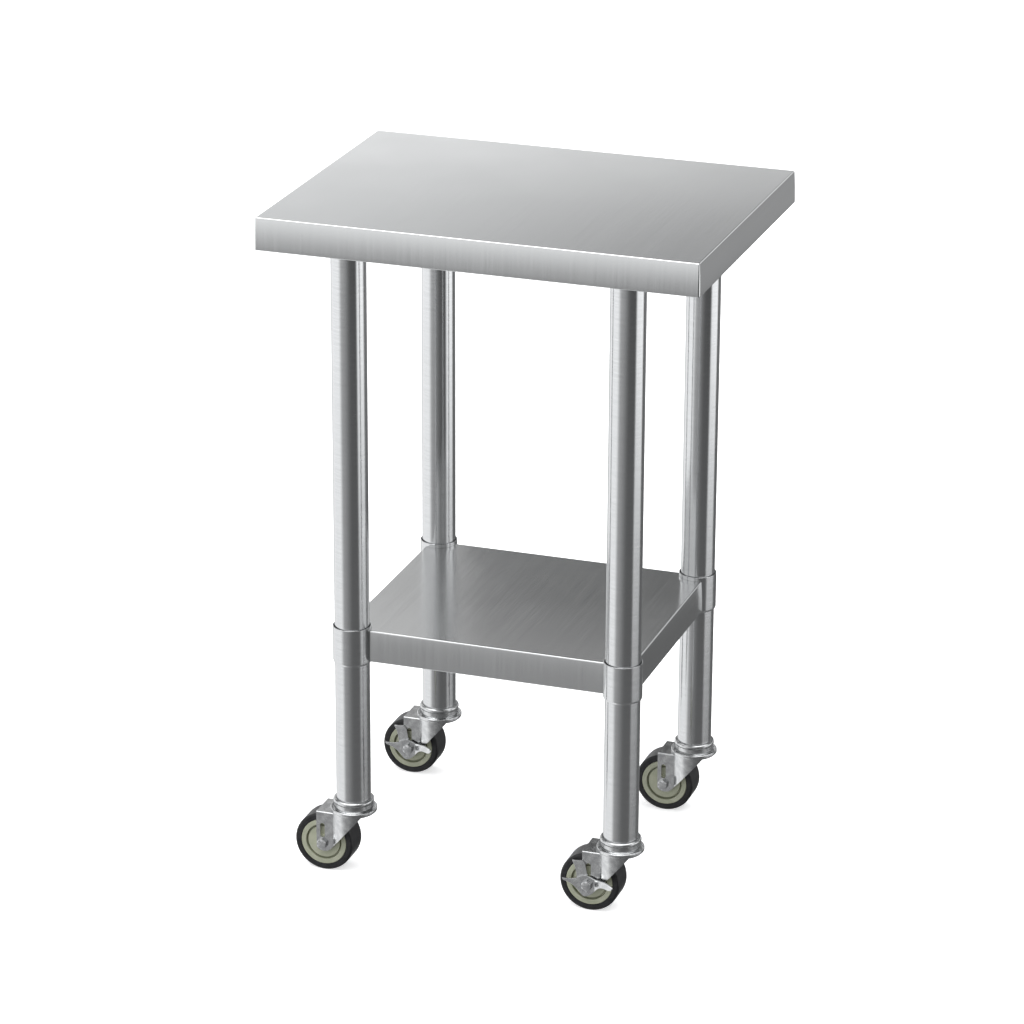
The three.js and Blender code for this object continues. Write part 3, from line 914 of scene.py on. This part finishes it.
def brushed_sheet():
    """Sheet brushed from front to back; the grain runs on down the front and back folds."""
    g = Graph(bpy.data.materials.new("stainless_sheet"))
    place = g.split(g.add("ShaderNodeTexCoord", output=3))
    normal = g.add("ShaderNodeTexCoord", output=1)
    facing = g.split(normal)
    on_end = g.math("GREATER_THAN", g.size(facing[0]), 0.7)
    on_front = g.math("GREATER_THAN", g.size(facing[1]), 0.7)
    across = g.choose(on_end, place[2], place[0])
    along = g.choose(on_front, place[2], place[1])
    grain_direction = g.join(0.0, g.choose(on_front, 0.0, 1.0), g.choose(on_front, 1.0, 0.0))
    tangent = g.add("ShaderNodeVectorMath", {0: normal, 1: grain_direction}, operation="CROSS_PRODUCT")
    hair = g.grain(g.times(across, 1600.0), g.times(along, 18.0), 3.0, 0.6)
    streak = g.grain(g.times(across, 140.0), g.times(along, 3.0), 4.0, 0.65)
    cloud = g.noise(g.join(across, along, 0.0), 9.0, 3.0, 0.5)
    tone = g.plus(g.times(streak, 0.5), g.times(hair, 0.5))
    colour = g.blend(g.share(tone, 0.35, 0.65), (0.61, 0.615, 0.615), (0.66, 0.665, 0.665))
    rough = g.plus(g.between(tone, 0.3, 0.7, 0.16, 0.20), g.between(cloud, 0.35, 0.65, -0.008, 0.008))
    relief = g.bump(hair, 0.10, 0.00003)
    return g.surface(
        Base_Color=colour, Metallic=1.0, Roughness=rough, Anisotropic=0.2, Tangent=tangent, Normal=relief,
    )


def polished_tube():
    """Tube ground round its axis, so that its grain runs round and its highlights run along it."""
    g = Graph(bpy.data.materials.new("stainless_tube"))
    position = g.add("ShaderNodeTexCoord", output=3)
    place = g.split(position)
    tangent = g.join(0.0, 0.0, 1.0)
    angle = g.math("ARCTAN2", place[1], place[0])
    ring = g.grain(g.times(place[2], 900.0), g.times(angle, 0.8), 3.0, 0.6)
    cloud = g.noise(position, 14.0, 3.0, 0.55)
    colour = g.blend(g.share(ring, 0.35, 0.65), (0.60, 0.605, 0.61), (0.66, 0.665, 0.67))
    rough = g.plus(g.between(ring, 0.3, 0.7, 0.165, 0.185), g.between(cloud, 0.35, 0.65, -0.005, 0.005))
    relief = g.bump(ring, 0.03, 0.00001)
    return g.surface(
        Base_Color=colour, Metallic=1.0, Roughness=rough, Anisotropic=0.5, Tangent=tangent, Normal=relief,
    )


def bright_zinc():
    """Pressed steel with a bright zinc plate: faintly wavy, with a soft mottle and fine rubs."""
    g = Graph(bpy.data.materials.new("bright_zinc"))
    position = g.add("ShaderNodeTexCoord", output=3)
    mottle = g.noise(position, 150.0, 3.0, 0.55)
    rub = g.noise(position, 900.0, 2.0, 0.5)
    wave = g.noise(position, 55.0, 1.0, 0.4)
    colour = g.blend(g.share(mottle, 0.35, 0.65), (0.55, 0.555, 0.56), (0.67, 0.675, 0.675))
    rough = g.plus(g.between(mottle, 0.35, 0.65, 0.19, 0.26), g.between(rub, 0.4, 0.6, -0.01, 0.01))
    relief = g.bump(wave, 0.12, 0.0004)
    return g.surface(Base_Color=colour, Metallic=1.0, Roughness=rough, Normal=relief)


def galvanized():
    """Hot-dipped sheet: dull, with large crystals that each reflect a little differently."""
    g = Graph(bpy.data.materials.new("galvanized_steel"))
    position = g.add("ShaderNodeTexCoord", output=3)
    crystal = g.add("ShaderNodeTexVoronoi", {"Vector": position, "Scale": 70.0}, output=1)
    shade = g.split(crystal)[0]
    grain = g.noise(position, 700.0, 3.0, 0.6)
    colour = g.blend(shade, (0.40, 0.41, 0.42), (0.56, 0.57, 0.58))
    rough = g.plus(g.between(shade, 0.0, 1.0, 0.38, 0.52), g.between(grain, 0.4, 0.6, -0.03, 0.03))
    relief = g.bump(grain, 0.15, 0.0001)
    return g.surface(Base_Color=colour, Metallic=1.0, Roughness=rough, Normal=relief)


def hub_plastic():
    """Moulded olive-grey plastic with a fine grain and a little dust."""
    g = Graph(bpy.data.materials.new("hub_plastic"))
    position = g.add("ShaderNodeTexCoord", output=3)
    grain = g.noise(position, 1500.0, 2.0, 0.5)
    dust = g.noise(position, 90.0, 4.0, 0.6)
    colour = g.blend(g.share(dust, 0.3, 0.7), (0.42, 0.44, 0.32), (0.50, 0.51, 0.39))
    rough = g.between(dust, 0.3, 0.7, 0.42, 0.56)
    relief = g.bump(grain, 0.2, 0.0001)
    return g.surface(Base_Color=colour, Metallic=0.0, Roughness=rough, Normal=relief)


def tyre_rubber():
    """Dark moulded tread with a matt grain, greyer where dust clings."""
    g = Graph(bpy.data.materials.new("tyre_rubber"))
    position = g.add("ShaderNodeTexCoord", output=3)
    grain = g.noise(position, 1300.0, 3.0, 0.6)
    dust = g.noise(position, 190.0, 5.0, 0.65)
    colour = g.blend(g.share(dust, 0.40, 0.68), (0.009, 0.009, 0.010), (0.024, 0.024, 0.026))
    rough = g.between(dust, 0.3, 0.7, 0.28, 0.50)
    relief = g.bump(g.plus(grain, g.times(dust, 2.5)), 0.3, 0.0002)
    return g.surface(
        Base_Color=colour, Metallic=0.0, Roughness=rough, Normal=relief, Specular_IOR_Level=0.4,
    )


def floor_paint():
    """Pale floor with the faintest mottle; it glows a little, so that it shows as white as the backdrop."""
    g = Graph(bpy.data.materials.new("floor"))
    position = g.add("ShaderNodeTexCoord", output=3)
    mottle = g.noise(position, 2.5, 3.0, 0.5)
    colour = g.blend(mottle, (0.90, 0.90, 0.90), (0.93, 0.93, 0.93))
    white = (1, 1, 1, 1)
    return g.surface(
        Base_Color=colour, Metallic=0.0, Roughness=0.85, Emission_Color=white, Emission_Strength=0.6,
    )


# ------------------------------------------------------------------ studio


def add_floor():
    """A floor that only the camera sees: the metal mirrors the world instead."""
    half = 20
    mesh = bpy.data.meshes.new("floor")
    corners = [(-half, -half, 0), (half, -half, 0), (half, half, 0), (-half, half, 0)]
    mesh.from_pydata(corners, [], [(0, 1, 2, 3)])
    mesh.materials.append(floor_paint())
    floor = bpy.data.objects.new("floor", mesh)
    bpy.context.scene.collection.objects.link(floor)
    floor.visible_glossy = False
    floor.visible_diffuse = False


def add_panel(name, centre, aim, width, height, radiance):
    """A soft rectangular light, in metres, that faces its aim; its power follows from its brightness."""
    light = bpy.data.lights.new(name, "AREA")
    light.shape = "RECTANGLE"
    light.size = width
    light.size_y = height
    light.energy = 4 * width * height * radiance
    panel = bpy.data.objects.new(name, light)
    bpy.context.scene.collection.objects.link(panel)
    panel.location = centre
    panel.rotation_euler = (Vector(aim) - Vector(centre)).to_track_quat("-Z", "Y").to_euler()
    panel.visible_camera = False


def add_lights():
    """One panel overhead, and two behind the table that the shelf mirrors."""
    add_panel("overhead_panel", (0.0, -0.3, 3.2), (0, 0, 0.5), 2.6, 2.2, radiance=0.8)
    add_panel("left_back_panel", (-1.02, 1.1, 0.8), (-0.6, 0, 0.4), 1.0, 0.6, radiance=0.22)
    add_panel("back_panel", (-0.15, 1.6, 1.27), (-0.15, 0, 1.0), 2.4, 0.3, radiance=0.25)


# The world is a studio all round, drawn by direction in degrees: azimuth 0 is the front, 90 the right,
# -90 the left and 180 the back; elevation 0 is the horizon and 90 is straight up. Values are brightness.


def wall_light(w, azimuth, elevation):
    """A bright left wall that spills round to the front, a pale floor far behind it, a dim back wall."""
    left_wall = w.times(w.window(azimuth, -138, -39, 13), 0.75)
    left_spill = w.times(w.smooth_step(azimuth, 30, -60), 0.45)
    spill = w.times(left_spill, w.smooth_step(azimuth, -175, -130))
    far_floor = w.times(w.window(azimuth, -177, -148, 11), w.smooth_step(elevation, 3, -6))
    back_height = w.times(w.smooth_step(elevation, -21, -16), w.between(elevation, -12, 8, 0.30, 0.06))
    back_wall = w.times(w.smooth_step(w.size(azimuth), 125, 165), back_height)
    left = w.plus(left_wall, w.times(far_floor, 0.9))
    return w.plus(left, spill, back_wall)


def right_light(w, azimuth, elevation):
    """A very bright screen on the right, half as bright about the horizon, nearly dark at its foot."""
    height = w.between(w.smooth_step(elevation, -22.5, -18), 0, 1, 0.09, 1.6)
    middle = w.between(w.window(elevation, -10, 11, 4), 0, 1, 1.0, 0.5)
    return w.times(w.window(azimuth, 72, 127, 8), height, middle)


def base_light(w, azimuth, elevation):
    """The dark ground tone, with some fill above the horizon on the right."""
    shade = w.between(elevation, -23.5, -17.5, 0.175, 0.10)
    fill = w.times(w.window(azimuth, 25, 150, 20), w.smooth_step(elevation, 0, 12))
    return w.plus(shade, w.times(fill, 0.5))


def glow_light(w, azimuth, elevation):
    """A glow from low on the walls up, everywhere but on the right; at the back its upper edge slants."""
    past_back = w.math("MODULO", w.plus(azimuth, 540.0), 360.0)
    slant = w.plus(elevation, w.between(past_back, 5, 35, 9, -9))
    forward = w.smooth_step(w.size(azimuth), 115, 85)
    cut = w.math("MAXIMUM", w.smooth_step(slant, 21, 14), forward)
    foot = w.between(w.size(azimuth), 100, 135, -17, -2)
    rise = w.smooth_step(w.math("SUBTRACT", elevation, foot), 0, 10)
    all_round = w.plus(w.window(azimuth, -200, 15, 25), w.smooth_step(azimuth, 140, 165))
    strength = w.between(elevation, -8, 12, 1.15, 0.84)
    return w.times(rise, cut, all_round, strength)


def brightness_limit(w, azimuth, elevation):
    """What walls and glow may reach together, so that the sheet stands out against a white backdrop."""
    at_back = w.smooth_step(w.size(azimuth), 100, 140)
    at_front = w.math("SUBTRACT", 1.0, at_back)
    back_limit = w.between(elevation, 6, 15, 0.8, 1.1)
    front_limit = w.between(elevation, -9, 0, 1.35, 1.0)
    return w.plus(w.times(at_back, back_limit), w.times(at_front, front_limit))


def add_world():
    """The camera sees a white backdrop; everything else is lit by the studio and mirrors it."""
    w = Graph(bpy.data.worlds.new("studio"))
    bpy.context.scene.world = w.owner
    direction = w.split(w.add("ShaderNodeTexCoord", output=0))
    azimuth = w.math("DEGREES", w.math("ARCTAN2", direction[0], w.times(direction[1], -1.0)))
    elevation = w.math("DEGREES", w.math("ARCSINE", direction[2]))

    lower = w.between(w.smooth_step(elevation, -23, -18), 0, 1, 0.8, 1.0)
    under_ceiling = w.smooth_step(elevation, 30, 15)
    walls = w.times(wall_light(w, azimuth, elevation), lower)
    low = w.times(w.plus(walls, base_light(w, azimuth, elevation)), under_ceiling)
    glow = glow_light(w, azimuth, elevation)
    around = w.math("MINIMUM", w.plus(low, glow), brightness_limit(w, azimuth, elevation))
    right = w.times(right_light(w, azimuth, elevation), lower, under_ceiling)
    ceiling = w.times(w.smooth_step(elevation, 38, 60), 2.2)
    light = w.plus(around, right, ceiling)

    surroundings = w.add("ShaderNodeBackground", {"Color": (0.98, 0.99, 1.0, 1), "Strength": light})
    backdrop = w.add("ShaderNodeBackground", {"Color": (1, 1, 1, 1), "Strength": 1.0})
    seen = w.add("ShaderNodeLightPath", output=0)
    shown = w.add("ShaderNodeMixShader", {0: seen, 1: surroundings, 2: backdrop})
    w.set(w.tree.nodes["World Output"], "Surface", shown)


def add_camera():
    """The camera looks back along a direction given by azimuth and elevation, with a slight roll."""
    away = Vector((
        sin(CAMERA_AZIMUTH) * cos(CAMERA_ELEVATION),
        -cos(CAMERA_AZIMUTH) * cos(CAMERA_ELEVATION),
        sin(CAMERA_ELEVATION),
    ))
    level_right = Vector((cos(CAMERA_AZIMUTH), sin(CAMERA_AZIMUTH), 0))
    right = Matrix.Rotation(CAMERA_ROLL, 3, away) @ level_right
    up = away.cross(right)
    turn = Matrix((right, up, away)).transposed()
    settings = bpy.data.cameras.new("camera")
    settings.sensor_width = 36
    settings.lens = CAMERA_LENS
    settings.clip_end = 100
    camera = bpy.data.objects.new("camera", settings)
    bpy.context.scene.collection.objects.link(camera)
    camera.matrix_world = Matrix.Translation(CAMERA_TARGET + away * CAMERA_DISTANCE) @ turn.to_4x4()
    bpy.context.scene.camera = camera


# ------------------------------------------------------------------ the scene


def keep_cad_node(node, material):
    """Leaves a small or hidden piece as the CAD made it, with a material of the scene."""
    slots = frame["nodes"][node].data.materials
    slots.clear()
    slots.append(material)


def keep_hidden_nodes(galvanized_material, zinc_material):
    for side in ("left", "right"):
        keep_cad_node(f"channel_{side}", galvanized_material)
    for code in CODES:
        keep_cad_node(f"socket_screw_{code}", zinc_material)
        keep_cad_node(f"collar_screw_{code}", zinc_material)


bpy.context.scene.view_settings.view_transform = "Standard"

add_camera()
add_world()
add_lights()
add_floor()

sheet_material = brushed_sheet()
tube_material = polished_tube()
zinc_material = bright_zinc()
galvanized_material = galvanized()

add_top(sheet_material)
add_undershelf(sheet_material)
add_legs(tube_material, galvanized_material)
add_casters(zinc_material, hub_plastic(), tyre_rubber())
keep_hidden_nodes(galvanized_material, zinc_material)
